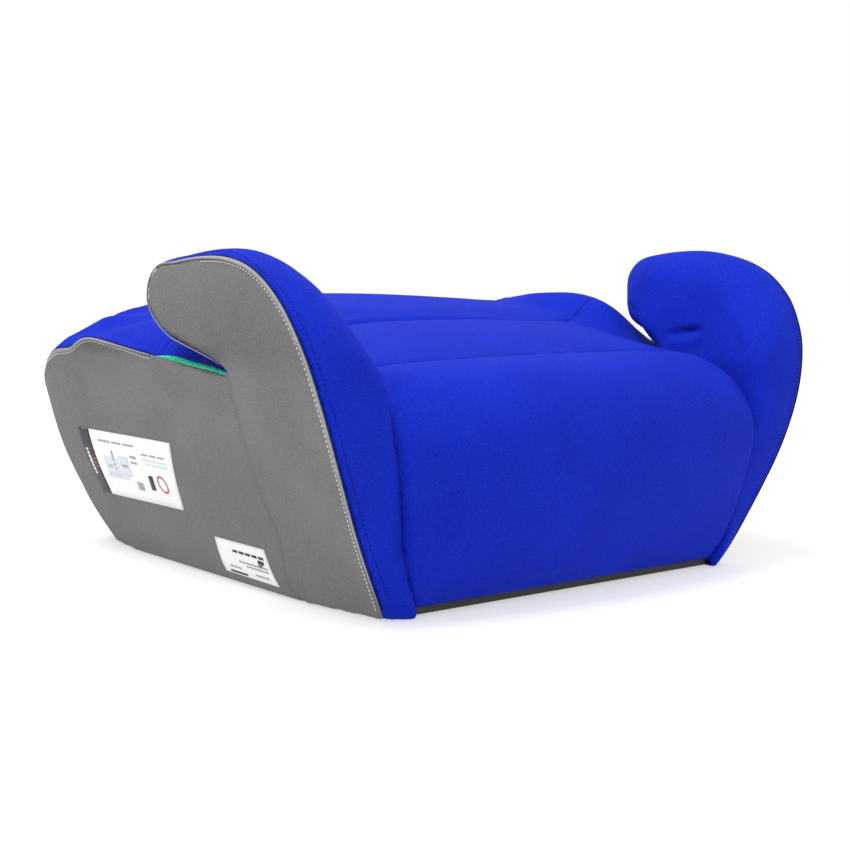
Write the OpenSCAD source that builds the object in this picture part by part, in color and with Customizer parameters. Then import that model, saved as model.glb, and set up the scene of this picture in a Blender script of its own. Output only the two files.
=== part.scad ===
// Backless child booster seat: padded top cover, hooked armrests that guide a lap belt,
// moulded inner shell and a flat base tray on rubber pads.
// Millimetres, +Z up, front of the seat towards -Y, origin on the floor under the middle.

/* [Overall] */

// width over both armrests
seat_w = 452; // [430:1:474]
// depth from the crown of the front panel to the back
seat_d = 440; // [420:1:460]
// height from the floor to the armrest crest
seat_h = 226; // [216:1:236]
// width of the flanks at floor level
foot_w = 302; // [286:1:318]
// how quickly a flank leans out as it rises, 1 is a straight lean
flank_curve = 1.88; // [1.2:0.02:2.6]

/* [Armrests] */

// how far the flank's front edge stands behind the crown of the front panel
flank_setback = 23; // [15:1:30]
// height of the underside of the armrest hook at its tip
hook_under_h = 176; // [170:1:180]
// reach of the armrest hook from the front of the flank
hook_reach = 183; // [170:1:195]
// thickness of an armrest across the seat
armrest_t = 46; // [40:1:54]
// height of the flank's upper edge in front, at the closed end of the belt path
notch_h = 149; // [145:1:152]
// distance from the front of the flank to the closed end of the belt path
notch_y = 96; // [90:1:104]
// height of the flank's upper edge towards the rear
flank_top_h = 167; // [162:1:172]
// width of the green belt path lining
belt_patch_w = 16; // [10:1:24]

/* [Seat] */

// width between the creases where the armrests meet the seat
crease_w = 320; // [306:1:330]
// height of the seam between front panel and middle panel
front_seam_h = 157; // [150:1:162]
// height of the seam between middle panel and rear panel
middle_seam_h = 175; // [168:1:180]
// height of the rear panel's flat top
rear_top_h = 188; // [182:1:194]
// height of the side bolster's crest
bolster_h = 187; // [180:1:194]
// depth of the seam between front and middle panel behind the seat's front
front_seam_y = 82; // [72:1:92]
// depth of the seam between middle and rear panel behind the seat's front
middle_seam_y = 214; // [200:1:226]
// how far the front panel bows forward between its two side seams
front_crown = 17; // [10:1:24]
// radius of the rear corners seen from above
rear_corner_r = 45; // [35:1:55]

/* [Layers] */

// thickness of the sewn cover with its backing
cover_t = 2; // [1.5:0.1:3]
// air between neighbouring layers
gap = 0.3; // [0.2:0.05:0.5]
// wall thickness of the moulded parts
mould_t = 3; // [2.5:0.1:4]
// thickness of the seat foam
seat_foam_t = 28; // [20:1:34]
// width of the edge trim sewn along the flank
trim_w = 3.4; // [2:0.1:5]
// how far the edge trim stands proud of the flank
trim_proud = 0.6; // [0.3:0.1:1]

/* [Base] */

// height of the tray's visible black rim
rim_h = 7; // [5:0.5:9]
// clearance between tray and floor
tray_lift = 2; // [1:0.5:3]
// length of a rubber pad
pad_l = 52; // [40:1:64]
// width of a rubber pad
pad_w = 24; // [16:1:30]
// shank diameter of the screws
screw_d = 4; // [3:0.5:5]
// head diameter of the screws
screw_head_d = 8; // [7:0.5:10]

/* [Labels] */

// length of the large label
label_l = 134; // [110:1:145]
// height of the large label, measured up the flank
label_w = 50; // [40:1:58]
// length of the small label
tag_l = 62; // [50:1:72]
// height of the small label, measured up the flank
tag_w = 28; // [20:1:34]

/* [Hidden] */

half_w = seat_w / 2;
front = -seat_d / 2;
rear = seat_d / 2;
flank_front = front + flank_setback;
foot_half = foot_w / 2;
top_half = half_w - trim_proud;
notch_at = flank_front + notch_y;
hook_end = flank_front + hook_reach;
seam_1 = front + front_seam_y;
seam_2 = front + middle_seam_y;
crease_half = crease_w / 2;
hem_z = 12;
deep = 2 * seat_d;
fine = 48;
head_t = 3;
boss_d = 12;

// ---- outline helpers ----

function unit(v) = v / norm(v);

// arc that rounds the corner b between a and c, as points
function corner_arc(a, b, c, r) =
    let (
        u = unit(a - b),
        v = unit(c - b),
        half = acos(u * v) / 2,
        mid = b + unit(u + v) * (r / sin(half)),
        p = b + u * (r / tan(half)) - mid,
        q = b + v * (r / tan(half)) - mid,
        from = atan2(p[1], p[0]),
        swing = atan2(q[1], q[0]) - from,
        turn = swing > 180 ? swing - 360 : swing < -180 ? swing + 360 : swing,
        n = max(2, ceil(sqrt(r) * abs(turn) / 90))
    )
    [for (i = [0 : n]) mid + r * [cos(from + turn * i / n), sin(from + turn * i / n)]];

// closed outline from corners given as [x, y, radius]
function rounded(pts) =
    let (n = len(pts))
    [for (i = [0 : n - 1])
        let (
            a = [pts[(i + n - 1) % n][0], pts[(i + n - 1) % n][1]],
            b = [pts[i][0], pts[i][1]],
            c = [pts[(i + 1) % n][0], pts[(i + 1) % n][1]]
        )
        each pts[i][2] == 0 ? [b] : corner_arc(a, b, c, pts[i][2])];

// the same counter-clockwise outline moved inwards by d
function inset(pts, d) =
    let (n = len(pts))
    [for (i = [0 : n - 1])
        let (
            u = unit(pts[i] - pts[(i + n - 1) % n]),
            v = unit(pts[(i + 1) % n] - pts[i]),
            nu = [-u[1], u[0]],
            nv = [-v[1], v[0]]
        )
        pts[i] + (nu + nv) * d / (1 + nu * nv)];

// corners given as [x, y, radius] moved inwards by d, so that their rounded outlines stay parallel
function moved_in(corners, d) =
    let (
        n = len(corners),
        flat = [for (c = corners) [c[0], c[1]]],
        moved = inset(flat, d)
    )
    [for (i = [0 : n - 1])
        let (
            before = flat[i] - flat[(i + n - 1) % n],
            after = flat[(i + 1) % n] - flat[i],
            bend = sign(before[0] * after[1] - before[1] * after[0]),
            r = corners[i][2]
        )
        [moved[i][0], moved[i][1], r == 0 ? 0 : max(r - bend * d, 0.8)]];

// ---- outlines ----

// half width of the outer flank at height z
function flank_x(z) = foot_half + (top_half - foot_half) * (1 - pow(1 - z / seat_h, flank_curve));

// flank with its hooked armrest, seen from the side as [y, z]
flank_corners = [
    [flank_front + 33, tray_lift, 3],
    [rear - 17, tray_lift, 44],
    [rear - 2, flank_top_h, 98],
    [rear - 118, flank_top_h, 60],
    [notch_at, notch_h, 3],
    [hook_end - 2, hook_under_h, 15],
    [hook_end + 1, seat_h - 9, 20],
    [flank_front + 84, seat_h, 60],
    [flank_front + 4, seat_h, 58],
    [flank_front - 3, 112, 90]
];
function flank_outline(d) = rounded(moved_in(flank_corners, d));

// padded body between the flanks, seen from the side as [y, z]
body_corners = [
    [front + 44, rim_h + gap, 2],
    [rear - 10, rim_h + gap, 20],
    [rear, 90, 120],
    [rear, rear_top_h, 32],
    [seam_2 + 110, rear_top_h, 200],
    [seam_2, middle_seam_h + 2, 60],
    [seam_1, front_seam_h + 1, 60],
    [front + 26, front_seam_h - 9, 36],
    [front - 14, 84, 70]
];
function body_outline(d) = rounded(moved_in(body_corners, d));

// moulded shell under the foam, seen from the side as [y, z]
shell_corners = [
    [front + 64, rim_h + gap, 0],
    [rear - 16, rim_h + gap, 0],
    [rear - 5, 90, 100],
    [rear - 5, rear_top_h - seat_foam_t, 16],
    [seam_1, front_seam_h - seat_foam_t, 30],
    [front + 32, front_seam_h - seat_foam_t - 4, 18],
    [front + 22, 90, 40]
];
function shell_outline(d) = rounded(moved_in(shell_corners, d));

// moulded core of a flank, well inside its padding, seen from the side as [y, z]
core_corners = [
    [flank_front + 48, hem_z + 5, 6],
    [rear - 34, hem_z + 5, 30],
    [rear - 18, flank_top_h - 15, 82],
    [rear - 118, flank_top_h - 15, 40],
    [notch_at - 22, notch_h - 13, 10],
    [hook_end - 40, hook_under_h + 8, 8],
    [hook_end - 40, seat_h - 26, 10],
    [flank_front + 80, seat_h - 17, 40],
    [flank_front + 22, seat_h - 17, 44],
    [flank_front + 13, 112, 80]
];
function core_outline(d) = rounded(moved_in(core_corners, d));

// rear side bolster, seen from the side as [y, z]
bolster_corners = [
    [seam_2 - 44, notch_h - 9, 2],
    [rear - 44, notch_h - 30, 2],
    [rear - 24, 88, 2],
    [rear - 5, 96, 2],
    [rear - 2, flank_top_h - 12, 60],
    [seam_2 + 90, bolster_h - 3, 120],
    [seam_2 + 20, bolster_h + 1, 40],
    [seam_2 - 34, flank_top_h + 3, 20]
];
function bolster_outline(d) = rounded(moved_in(bolster_corners, d));

// body between the two creases, seen from the front as [x, z], right half then left half
body_right = [
    [foot_half - 18, rim_h],
    [foot_half - 7, 24],
    [foot_half, 50],
    [crease_half - 2, 92],
    [crease_half, 118],
    [crease_half, seat_h]
];
body_section = concat(
    body_right,
    [for (i = [len(body_right) - 1 : -1 : 0]) [-body_right[i][0], body_right[i][1]]]
);

shell_half = foot_half - 5;
shell_section = [
    [shell_half - 20, rim_h],
    [shell_half, 108],
    [shell_half, seat_h],
    [-shell_half, seat_h],
    [-shell_half, 108],
    [20 - shell_half, rim_h]
];

// outer curve of the right flank as [x, z], moved in by d
function flank_curve_pts(d) =
    [for (z = [0, 12, 26, 44, 66, 92, 122, 156, 192, seat_h]) [flank_x(z) - d, z]];

// right flank from its inner to its outer face, seen from the front as [x, z]
flank_section = concat(
    flank_curve_pts(0),
    rounded([
        [top_half - armrest_t, seat_h, 0],
        [top_half - armrest_t, 182, 20],
        [crease_half + 1, 150, 20],
        [crease_half + 1, 112, 30],
        [foot_half + 1, 50, 40],
        [foot_half - 16, 0, 0]
    ])
);

// the middle of the flank's thickness, where the moulded core runs, as [x, z]
core_path = [
    [foot_half - 8, 16],
    [foot_half + 20, 84],
    [crease_half + 27, 140],
    [top_half - 19, seat_h - 30],
    [top_half - 17, seat_h]
];

// side bolster seen from the front as [x, z]
bolster_section = rounded([
    [crease_half - 12, 40, 0],
    [top_half, 40, 0],
    [top_half - 2, flank_top_h - 10, 6],
    [top_half - 26, bolster_h + 6, 18],
    [crease_half + 4, bolster_h - 6, 16],
    [crease_half - 12, flank_top_h, 8]
]);

// whole seat seen from above as [x, y]
front_steps = 10;
plan_corners = concat(
    [for (i = [0 : front_steps])
        let (t = 2 * i / front_steps - 1)
        [crease_half * t, front + front_crown * t * t, 0]],
    [
        [half_w, front + front_crown, 0],
        [half_w, rear - 4, rear_corner_r],
        [60, rear, 0],
        [-60, rear, 0],
        [-half_w, rear - 4, rear_corner_r],
        [-half_w, front + front_crown, 0]
    ]
);

// ---- shared solids ----

// side view outline drawn across the whole width
module across(pts) {
    rotate([90, 0, 90]) linear_extrude(2 * seat_w, center = true) polygon(pts);
}

// front view outline drawn along the whole depth
module along(pts) {
    rotate([90, 0, 0]) linear_extrude(deep, center = true) polygon(pts);
}

// seat seen from above, moved in by d
module plan(d) {
    linear_extrude(2 * seat_h) polygon(rounded(moved_in(plan_corners, d)));
}

// block given by its two corners
module block(low, high) {
    translate(low) cube(high - low);
}

// everything inside the outer curve of the flank moved in by d, seen from the front
module inside_flank(d) {
    along(concat(flank_curve_pts(d), [[0, seat_h], [0, 0]]));
}

// right flank moved in by d on every side
module flank(d) {
    intersection() {
        across(flank_outline(d));
        along(inset(flank_section, d));
        plan(d);
    }
}

// padded body moved in by d on every side
module body(d) {
    intersection() {
        across(body_outline(d));
        along(inset(body_section, d));
        plan(d);
    }
}

// right bolster moved in by d on every side
module bolster(d) {
    intersection() {
        across(bolster_outline(d));
        along(inset(bolster_section, d));
        inside_flank(d);
        plan(d);
    }
}

// both sides of something drawn for the right
module pair() {
    children();
    mirror([1, 0, 0]) children();
}

// cover skin of the whole seat top, right and left bolster included
module top_skin() {
    difference() {
        union() {
            body(0);
            pair() bolster(0);
        }
        body(cover_t);
        pair() bolster(cover_t);
        pair() across_right(flank_outline(-gap), crease_half + gap);
    }
}

// side view outline drawn from x = start outwards on the right
module across_right(pts, start) {
    translate([start, 0, 0]) rotate([90, 0, 90]) linear_extrude(seat_w) polygon(pts);
}

// moulded shell moved in by d on every side
module shell_form(d) {
    intersection() {
        across(shell_outline(d));
        along(inset(shell_section, d));
        plan(cover_t + gap + d);
    }
}

// ---- moulded parts ----

// heights and depths of the screws that hold the armrest cores to the shell
core_screw_z = 116;
core_screw_y = [-112, -40, 36, 112];

// plan positions of the screws that hold the tray to the shell
tray_screw_at = [for (x = [-96, 0, 96], y = [-112, 124]) [x, y]];

// plan positions of the rubber pads
pad_at = [for (x = [-100, 100], y = [-132, 148]) [x, y]];

// moulded shell: an open-bottomed tub whose sloping deck carries the seat foam
module seat_shell() {
    rib_low = 52;
    color("#202124")
    difference() {
        union() {
            difference() {
                shell_form(0);
                shell_form(mould_t);
                translate([0, 0, -mould_t - gap]) shell_form(mould_t);
            }
            intersection() {
                shell_form(1);
                union() {
                    for (y = [-76, 0, 76]) {
                        block([-half_w, y, rib_low], [half_w, y + mould_t, seat_h]);
                    }
                    for (x = [-48, 48]) {
                        block([x, front, rib_low], [x + mould_t, rear, seat_h]);
                    }
                    for (p = tray_screw_at) {
                        translate([p[0], p[1], rim_h + gap])
                            cylinder(d = boss_d, h = seat_h, $fn = fine);
                    }
                }
            }
        }
        for (p = tray_screw_at) {
            translate([p[0], p[1], 0]) cylinder(d = screw_d + 2 * gap, h = 34, $fn = fine);
        }
        for (y = core_screw_y) {
            translate([-half_w, y, core_screw_z]) rotate([0, 90, 0])
                cylinder(d = screw_d + 2 * gap, h = seat_w, $fn = fine);
        }
    }
}

// base tray outline seen from above as [x, y]
tray_half = foot_half - 5;
tray_outline = rounded([
    [-tray_half, front + 43, 16],
    [tray_half, front + 43, 16],
    [tray_half, rear - 22, 36],
    [-tray_half, rear - 22, 36]
]);

// outline of one rubber pad grown by d
module pad_outline(d) {
    polygon(inset(rounded([
        [-pad_w / 2, -pad_l / 2, 8],
        [pad_w / 2, -pad_l / 2, 8],
        [pad_w / 2, pad_l / 2, 8],
        [-pad_w / 2, pad_l / 2, 8]
    ]), -d));
}

// base tray with a raised rim, sunk seats for the pads and sunk holes for the screws
module base_tray() {
    floor_t = 3.4;
    seat_t = 1.6;
    color("#161618")
    difference() {
        translate([0, 0, tray_lift]) linear_extrude(rim_h - tray_lift) polygon(tray_outline);
        translate([0, 0, tray_lift + floor_t]) linear_extrude(rim_h) polygon(inset(tray_outline, mould_t));
        for (p = pad_at) {
            translate([p[0], p[1], 0]) linear_extrude(tray_lift + seat_t) pad_outline(gap);
        }
        for (p = tray_screw_at) {
            translate([p[0], p[1], 0]) cylinder(d = screw_d + 2 * gap, h = rim_h, $fn = fine);
            translate([p[0], p[1], 0])
                cylinder(d = screw_head_d + 2 * gap, h = tray_lift + seat_t, $fn = fine);
        }
    }
}

// rubber pads, the only parts that touch the car seat or the floor
module rubber_pads() {
    pad_t = tray_lift + 1.3;
    color("#0f0f10")
    for (p = pad_at) {
        translate([p[0], p[1], 0]) linear_extrude(pad_t) pad_outline(0);
    }
}

// band along the middle of the flank, from low to high across its thickness, seen from the front
function core_band(low, high) = concat(
    [for (p = core_path) [p[0] + high, p[1]]],
    [for (i = [len(core_path) - 1 : -1 : 0]) [core_path[i][0] + low, core_path[i][1]]]
);

core_half_t = 9;
core_web = 2;
core_boss_end = crease_half + 15;

// a piece of the core: its outline moved in by d, cut to a band across the flank's thickness
module core_piece(d, low, high) {
    intersection() {
        across(core_outline(d));
        along(core_band(low, high));
    }
}

// hook-shaped armrest core: a web with a rim round it and four screw bosses
module armrest_core_right() {
    reach = shell_half + gap;
    color("#2a2b2e")
    difference() {
        union() {
            difference() {
                core_piece(0, -core_half_t, core_half_t);
                core_piece(mould_t, core_web, core_half_t + 1);
                core_piece(mould_t, -core_half_t - 1, -core_web);
            }
            for (y = core_screw_y) {
                translate([reach, y, core_screw_z]) rotate([0, 90, 0])
                    cylinder(d = boss_d, h = core_boss_end + 8 - reach, $fn = fine);
            }
        }
        for (y = core_screw_y) {
            translate([0, y, core_screw_z]) rotate([0, 90, 0])
                cylinder(d = screw_d + 0.2, h = core_boss_end + 2, $fn = fine);
        }
    }
}

module armrest_core_left() {
    mirror([1, 0, 0]) armrest_core_right();
}

// one pan-head screw with its head below the origin and its shank upwards
module screw(length) {
    translate([0, 0, -head_t + 0.4]) cylinder(d = screw_head_d, h = head_t - 0.4, $fn = fine);
    cylinder(d = screw_d, h = length, $fn = fine);
}

// screws from inside the shell into the armrest cores
module armrest_screws() {
    color("#9a9da1")
    pair() {
        for (y = core_screw_y) {
            translate([shell_half - mould_t, y, core_screw_z]) rotate([0, 90, 0]) screw(26);
        }
    }
}

// screws from below through the tray into the shell's posts
module tray_screws() {
    seat_z = tray_lift + 1.6;
    color("#9a9da1")
    for (p = tray_screw_at) {
        translate([p[0], p[1], seat_z]) {
            translate([0, 0, -1.2]) cylinder(d = screw_head_d, h = 1.2, $fn = fine);
            cylinder(d = screw_d, h = 24, $fn = fine);
        }
    }
}

// ---- foams ----

// everything the shell and the tray take up, grown by the gap
module shell_room() {
    across(shell_outline(-gap));
}

// seat foam on the sloping deck, with a bolster at either side of its rear half
module seat_foam() {
    low = front_seam_h - seat_foam_t - 6;
    color("#d8d4c6")
    difference() {
        union() {
            intersection() {
                body(cover_t + gap);
                block([-half_w, seam_1 + gap, low], [half_w, deep, seat_h]);
            }
            pair() bolster(cover_t + gap);
        }
        shell_room();
        pair() across_right(flank_outline(-gap), crease_half - 2 * gap);
    }
}

// foam between the shell's front wall and the front panel
module front_foam() {
    color("#d8d4c6")
    difference() {
        intersection() {
            body(cover_t + gap);
            block([-half_w, front, hem_z], [half_w, seam_1, seat_h]);
        }
        shell_room();
    }
}

// space between the shell's side wall and the flank, seen from the front as [x, z]
flank_fill = [
    [shell_half - 18, hem_z],
    [foot_half - 8, hem_z],
    [foot_half + 8, 60],
    [crease_half + 8, 118],
    [crease_half + 8, seat_h],
    [shell_half + 2 * gap, seat_h],
    [shell_half + 2 * gap, 108]
];

// foam of one flank, its hooked armrest wrapped all round the moulded core
module armrest_foam_right() {
    color("#cfcbbd")
    difference() {
        union() {
            intersection() {
                flank(cover_t + gap);
                block([0, front, hem_z], [half_w, rear, seat_h]);
            }
            intersection() {
                across(shell_outline(2));
                along(flank_fill);
                plan(cover_t + gap);
            }
        }
        intersection() {
            across(core_outline(-gap));
            along(core_band(-core_half_t - gap, core_half_t + gap));
        }
        for (y = core_screw_y) {
            translate([0, y, core_screw_z]) rotate([0, 90, 0])
                cylinder(d = boss_d + 2 * gap, h = core_boss_end + 10, $fn = fine);
        }
    }
}

module armrest_foam_left() {
    mirror([1, 0, 0]) armrest_foam_right();
}

// ---- sewn cover ----

// blue panel over the seat's front, bowed forward between its side seams
module front_panel() {
    color("#1b2eb3")
    difference() {
        body(0);
        intersection() {
            across(body_outline(cover_t));
            plan(cover_t);
        }
        block([-half_w, seam_1 - gap / 2, 0], [half_w, deep, seat_h]);
        block([-half_w, front + 56, 0], [half_w, deep, hem_z + 40]);
    }
}

// blue panel from the front panel's seam to the middle of the seat
module middle_panel() {
    color("#2339c4")
    intersection() {
        top_skin();
        block([-half_w, seam_1 + gap / 2, front_seam_h - 24], [half_w, seam_2 - gap / 2, seat_h]);
    }
}

rear_seam_z = 150;

// blue panel over the rear of the seat and both bolsters
module rear_panel() {
    color("#2a41cf")
    difference() {
        top_skin();
        block([-half_w, -deep, 0], [half_w, seam_2 + gap / 2, seat_h]);
        block([-crease_half, -deep, 0], [crease_half, deep, rear_seam_z]);
    }
}

back_half = half_w - rear_corner_r - 2;

// grey panel across the back, between the two side panels
module back_panel() {
    color("#7a7a7a")
    intersection() {
        difference() {
            union() {
                body(0);
                pair() flank(0);
            }
            intersection() {
                across(body_outline(cover_t));
                plan(cover_t);
            }
            pair() intersection() {
                across(flank_outline(cover_t));
                block([crease_half, front, 0], [half_w, rear, seat_h]);
                plan(cover_t);
            }
        }
        block([-back_half, rear - 40, hem_z], [back_half, deep, rear_seam_z - gap]);
    }
}

// side view regions that the gusset covers: its strip round the armrest and its inner face
strip_region = [
    [flank_front - 10, -1],
    [flank_front + 48, -1],
    [flank_front + 48, 100],
    [notch_at + 66, notch_h - 10],
    [notch_at + 66, notch_h + 9],
    [hook_end + 20, hook_under_h - 5],
    [hook_end + 20, seat_h + 5],
    [flank_front - 10, seat_h + 5]
];
face_region = [
    [flank_front - 10, 118],
    [notch_at + 6, 128],
    [notch_at + 6, notch_h + 2],
    [hook_end + 20, hook_under_h - 5],
    [hook_end + 20, seat_h + 5],
    [flank_front - 10, seat_h + 5]
];

lining_x = flank_x(notch_h) - belt_patch_w;
lining_from = notch_at + 10;
lining_to = notch_at + 104;

// strip of cover, one cover thickness deep, that follows the flank's edge
module edge_strip() {
    intersection() {
        difference() {
            flank(0);
            across(flank_outline(cover_t));
        }
        inside_flank(cover_t + gap);
    }
}

// blue cover of one armrest: its front band, top, nose, underside and inner face
module gusset_right() {
    color("#1d31ba")
    difference() {
        union() {
            intersection() {
                edge_strip();
                across(strip_region);
            }
            difference() {
                intersection() {
                    flank(0);
                    across(face_region);
                    block([0, front, 0], [top_half - armrest_t + 14, rear, seat_h]);
                }
                along(inset(flank_section, cover_t));
            }
        }
        block([lining_x - gap, lining_from - gap, notch_h - 9], [half_w, lining_to + gap, notch_h + 8]);
    }
}

module gusset_left() {
    mirror([1, 0, 0]) gusset_right();
}

// green lining of the belt path, on the flank's upper edge under the armrest hook
module belt_lining_right() {
    color("#2fbc85")
    intersection() {
        edge_strip();
        block([lining_x, lining_from, notch_h - 9], [half_w, lining_to, notch_h + 15]);
        across([
            [notch_at, notch_h - 9],
            [lining_to + 10, notch_h - 9],
            [lining_to + 10, notch_h + 15],
            [notch_at + 40, notch_h + 8]
        ]);
    }
}

module belt_lining_left() {
    mirror([1, 0, 0]) belt_lining_right();
}

// grey outer face of one flank
module side_panel_right() {
    color("#7a7a7a")
    difference() {
        intersection() {
            across(flank_outline(trim_w + gap));
            along(flank_section);
            plan(0);
            block([back_half + gap, front, tray_lift + 1], [half_w, rear, seat_h]);
        }
        intersection() {
            inside_flank(cover_t);
            plan(cover_t);
        }
    }
}

module side_panel_left() {
    mirror([1, 0, 0]) side_panel_right();
}

// stitched grey trim along the edge of the flank
module edge_trim_right() {
    color("#a6a6a8")
    intersection() {
        difference() {
            across(flank_outline(0));
            across(flank_outline(trim_w));
            inside_flank(cover_t);
        }
        inside_flank(-trim_proud);
        block([0, front, hem_z - 4], [half_w, rear - rear_corner_r - 4, seat_h]);
    }
}

module edge_trim_left() {
    mirror([1, 0, 0]) edge_trim_right();
}

// black elastic band that draws the cover's lower edge in round the tray
module hem_band() {
    color("#141414")
    difference() {
        translate([0, 0, tray_lift + 1])
            linear_extrude(hem_z - tray_lift - 1 - gap) polygon(inset(tray_outline, -gap - 1.6));
        linear_extrude(2 * hem_z) polygon(inset(tray_outline, -gap));
        block([-half_w, front, 0], [half_w, front + 62, 2 * hem_z]);
    }
}

// ---- labels on the left flank ----

label_t = 0.6;
label_lift = 0.1;

// thin sheet that follows the flank's outer curve inside a side view outline
module label_sheet(pts) {
    mirror([1, 0, 0])
    intersection() {
        across(pts);
        difference() {
            inside_flank(-label_lift - label_t);
            inside_flank(-label_lift);
        }
        block([0, front, 0], [2 * half_w, rear, seat_h]);
    }
}

// large instruction label
module label_large() {
    y = 10;
    z = 46;
    color("#f4f4f2") label_sheet(rounded([
        [y + 18, z, 2],
        [y + label_l, z, 2],
        [y + label_l, z + label_w, 2],
        [y, z + label_w, 2]
    ]));
}

// small approval label with clipped corners
module label_small() {
    y = -65;
    z = 4;
    clip = 5;
    color("#f4f4f2") label_sheet([
        [y + clip, z],
        [y + tag_l - clip, z],
        [y + tag_l, z + clip],
        [y + tag_l, z + tag_w - 1],
        [y + tag_l - 1, z + tag_w],
        [y + 1, z + tag_w],
        [y, z + tag_w - 1],
        [y, z + clip]
    ]);
}

seat_shell();
base_tray();
armrest_core_left();
armrest_core_right();
armrest_screws();
tray_screws();
rubber_pads();
seat_foam();
front_foam();
armrest_foam_left();
armrest_foam_right();
front_panel();
middle_panel();
rear_panel();
back_panel();
gusset_left();
gusset_right();
side_panel_left();
side_panel_right();
edge_trim_left();
edge_trim_right();
belt_lining_left();
belt_lining_right();
hem_band();
label_large();
label_small();
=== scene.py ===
"""Backless child booster seat: the sewn cover, its foam shapes, seams, trims, stitches and labels,
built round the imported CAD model. Lengths in the shape functions are millimetres in the shared
frame (front towards -Y, +Z up, origin on the floor under the middle); meshes are in metres."""
import math
import bpy
import numpy as np
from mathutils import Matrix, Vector, kdtree


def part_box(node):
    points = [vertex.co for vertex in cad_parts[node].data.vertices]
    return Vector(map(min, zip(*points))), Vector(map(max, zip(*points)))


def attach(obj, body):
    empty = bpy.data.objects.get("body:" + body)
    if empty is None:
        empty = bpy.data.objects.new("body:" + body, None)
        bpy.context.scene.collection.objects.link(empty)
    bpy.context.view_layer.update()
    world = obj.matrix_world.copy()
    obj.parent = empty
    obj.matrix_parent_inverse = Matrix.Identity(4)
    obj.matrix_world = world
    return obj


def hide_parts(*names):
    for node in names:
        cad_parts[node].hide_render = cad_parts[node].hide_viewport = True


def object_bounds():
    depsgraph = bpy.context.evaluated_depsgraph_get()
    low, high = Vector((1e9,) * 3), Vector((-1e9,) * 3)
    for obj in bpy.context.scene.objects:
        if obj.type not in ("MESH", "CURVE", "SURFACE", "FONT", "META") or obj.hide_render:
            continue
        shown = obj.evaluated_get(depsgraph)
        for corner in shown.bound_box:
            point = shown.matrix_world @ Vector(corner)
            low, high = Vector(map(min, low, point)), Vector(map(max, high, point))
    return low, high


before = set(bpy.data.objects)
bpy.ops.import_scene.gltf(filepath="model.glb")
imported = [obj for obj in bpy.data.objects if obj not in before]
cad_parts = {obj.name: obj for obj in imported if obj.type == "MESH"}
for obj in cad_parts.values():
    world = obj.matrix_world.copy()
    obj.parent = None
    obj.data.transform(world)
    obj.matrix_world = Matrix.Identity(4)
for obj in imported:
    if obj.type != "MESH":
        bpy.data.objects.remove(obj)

cad_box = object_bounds()
MM = 0.001

# ---- sizes taken from the frame
LOW, HIGH = (np.array(v) * 1000 for v in cad_box)
FRONT, REAR = LOW[1], HIGH[1]
CREST = HIGH[2]
TRAY_LOW, TRAY_HIGH = (np.array(v) * 1000 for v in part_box("base_tray"))
FOOT_HALF = TRAY_HIGH[0] + 5      # half width of the flank's foot
TOP_HALF = HIGH[0] - 1.2          # half width at the armrest's crest, leaving room for the swelling
FLANK_CURVE = 1.88                # how soon the flank turns upright on its way up
FLANK_FRONT = FRONT + 42          # the side view tables below count from this line


def smooth(t):
    t = np.clip(t, 0, 1)
    return t * t * (3 - 2 * t)


def ramp(v, a, b):
    """0 before a, 1 after b, smooth between."""
    return smooth((v - a) / (b - a))


def natural_spline(xs, ys, at):
    """Natural cubic spline through (xs, ys); ys may have several columns."""
    xs, ys = np.asarray(xs, float), np.asarray(ys, float)
    n = len(xs)
    h = np.diff(xs)
    shape = (-1,) + (1,) * (ys.ndim - 1)
    slope = np.diff(ys, axis=0) / h.reshape(shape)
    a = np.eye(n)
    r = np.zeros_like(ys)
    for i in range(1, n - 1):
        a[i, i - 1:i + 2] = h[i - 1], 2 * (h[i - 1] + h[i]), h[i]
        r[i] = 6 * (slope[i] - slope[i - 1])
    m = np.linalg.solve(a, r.reshape(n, -1)).reshape(ys.shape)
    at = np.clip(at, xs[0], xs[-1])
    k = np.clip(np.searchsorted(xs, at, side="right") - 1, 0, n - 2)
    t, hk = (at - xs[k]).reshape(shape), h[k].reshape(shape)
    return (ys[k] + t * (slope[k] - hk * (2 * m[k] + m[k + 1]) / 6)
            + t ** 2 * m[k] / 2 + t ** 3 * (m[k + 1] - m[k]) / (6 * hk))


class Sheet2:
    """A function of two values, kept on a fine regular grid and read back bilinearly."""

    def __init__(self, a0, b0, step, values):
        self.a0, self.b0, self.step, self.values = a0, b0, step, values

    def __call__(self, a, b):
        n, m = self.values.shape
        u = np.clip((a - self.a0) / self.step, 0, n - 1.001)
        v = np.clip((b - self.b0) / self.step, 0, m - 1.001)
        i, j = u.astype(int), v.astype(int)
        u, v = u - i, v - j
        w = self.values
        return ((w[i, j] * (1 - u) + w[i + 1, j] * u) * (1 - v)
                + (w[i, j + 1] * (1 - u) + w[i + 1, j + 1] * u) * v)


def closed_curve(points, steps=6):
    """Centripetal Catmull-Rom through a closed list of points."""
    p = np.array(points, float)
    out = []
    n = len(p)
    for i in range(n):
        q = [p[(i + k - 1) % n] for k in range(4)]
        t = [0.0]
        for k in range(3):
            t.append(t[-1] + max(np.linalg.norm(q[k + 1] - q[k]), 1e-6) ** 0.5)
        for s in np.linspace(t[1], t[2], steps, endpoint=False):
            a = [((t[k + 1] - s) * q[k] + (s - t[k]) * q[k + 1]) / (t[k + 1] - t[k]) for k in range(3)]
            b = [((t[k + 2] - s) * a[k] + (s - t[k]) * a[k + 1]) / (t[k + 2] - t[k]) for k in range(2)]
            out.append(((t[2] - s) * b[0] + (s - t[1]) * b[1]) / (t[2] - t[1]))
    return np.array(out)


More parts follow.
